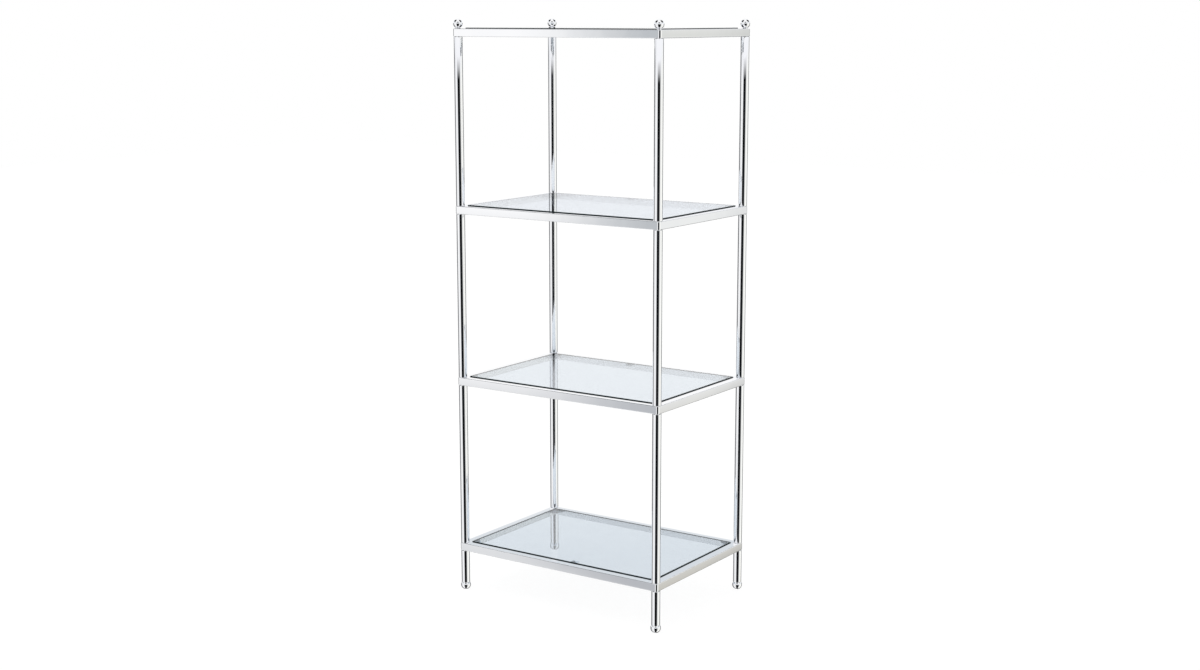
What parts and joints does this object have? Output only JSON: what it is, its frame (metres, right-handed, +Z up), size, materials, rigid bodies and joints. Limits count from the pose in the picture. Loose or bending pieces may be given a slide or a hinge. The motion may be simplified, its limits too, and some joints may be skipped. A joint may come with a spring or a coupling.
{
  "type": "glass shelving unit",
  "caption": "Tall open shelving unit: chromed tube frames on round corner posts, clear glass shelves laid in the frames, ball feet and ball finials.",
  "frame": {"origin": "on the floor under the middle of the unit", "axes": "+X along the width to the right, +Y to the back, +Z up"},
  "size_m": [0.614, 0.424, 1.4706],
  "materials": {
    "chrome": "bright chrome plate, mirror polished",
    "glass": "clear toughened float glass with ground and polished edges",
    "clear_pad": "clear soft vinyl",
    "zinc_steel": "bright zinc plate"
  },
  "bodies": {
    "frame": {"bottom_front_rail": "chrome", "bottom_right_rail": "chrome", "bottom_back_rail": "chrome", "bottom_left_rail": "chrome", "lower_front_rail": "chrome", "lower_right_rail": "chrome", "lower_back_rail": "chrome", "lower_left_rail": "chrome", "upper_front_rail": "chrome", "upper_right_rail": "chrome", "upper_back_rail": "chrome", "upper_left_rail": "chrome", "top_front_rail": "chrome", "top_right_rail": "chrome", "top_back_rail": "chrome", "top_left_rail": "chrome", "bottom_glass_supports": "chrome", "lower_glass_supports": "chrome", "upper_glass_supports": "chrome", "top_glass_supports": "chrome", "bottom_glass_pads": "clear_pad", "lower_glass_pads": "clear_pad", "upper_glass_pads": "clear_pad", "top_glass_pads": "clear_pad", "bottom_front_left_post": "chrome", "bottom_front_right_post": "chrome", "bottom_back_right_post": "chrome", "bottom_back_left_post": "chrome", "lower_front_left_post": "chrome", "lower_front_right_post": "chrome", "lower_back_right_post": "chrome", "lower_back_left_post": "chrome", "upper_front_left_post": "chrome", "upper_front_right_post": "chrome", "upper_back_right_post": "chrome", "upper_back_left_post": "chrome", "front_left_leg": "chrome", "front_right_leg": "chrome", "back_right_leg": "chrome", "back_left_leg": "chrome", "front_left_foot": "chrome", "front_right_foot": "chrome", "back_right_foot": "chrome", "back_left_foot": "chrome", "front_left_finial": "chrome", "front_right_finial": "chrome", "back_right_finial": "chrome", "back_left_finial": "chrome", "post_plugs": "zinc_steel", "leg_plugs": "zinc_steel", "joining_studs": "zinc_steel", "finial_studs": "zinc_steel", "foot_studs": "zinc_steel"},
    "bottom_glass": {"bottom_glass_shelf": "glass"},
    "lower_glass": {"lower_glass_shelf": "glass"},
    "upper_glass": {"upper_glass_shelf": "glass"},
    "top_glass": {"top_glass_shelf": "glass"}
  },
  "joints": [
    {"name": "bottom_glass_lift", "type": "slide", "parent": "frame", "child": "bottom_glass", "axis": [0, 0, 1], "range_m": [0, 0.06]},
    {"name": "lower_glass_lift", "type": "slide", "parent": "frame", "child": "lower_glass", "axis": [0, 0, 1], "range_m": [0, 0.06]},
    {"name": "upper_glass_lift", "type": "slide", "parent": "frame", "child": "upper_glass", "axis": [0, 0, 1], "range_m": [0, 0.06]},
    {"name": "top_glass_lift", "type": "slide", "parent": "frame", "child": "top_glass", "axis": [0, 0, 1], "range_m": [0, 0.06]}
  ]
}
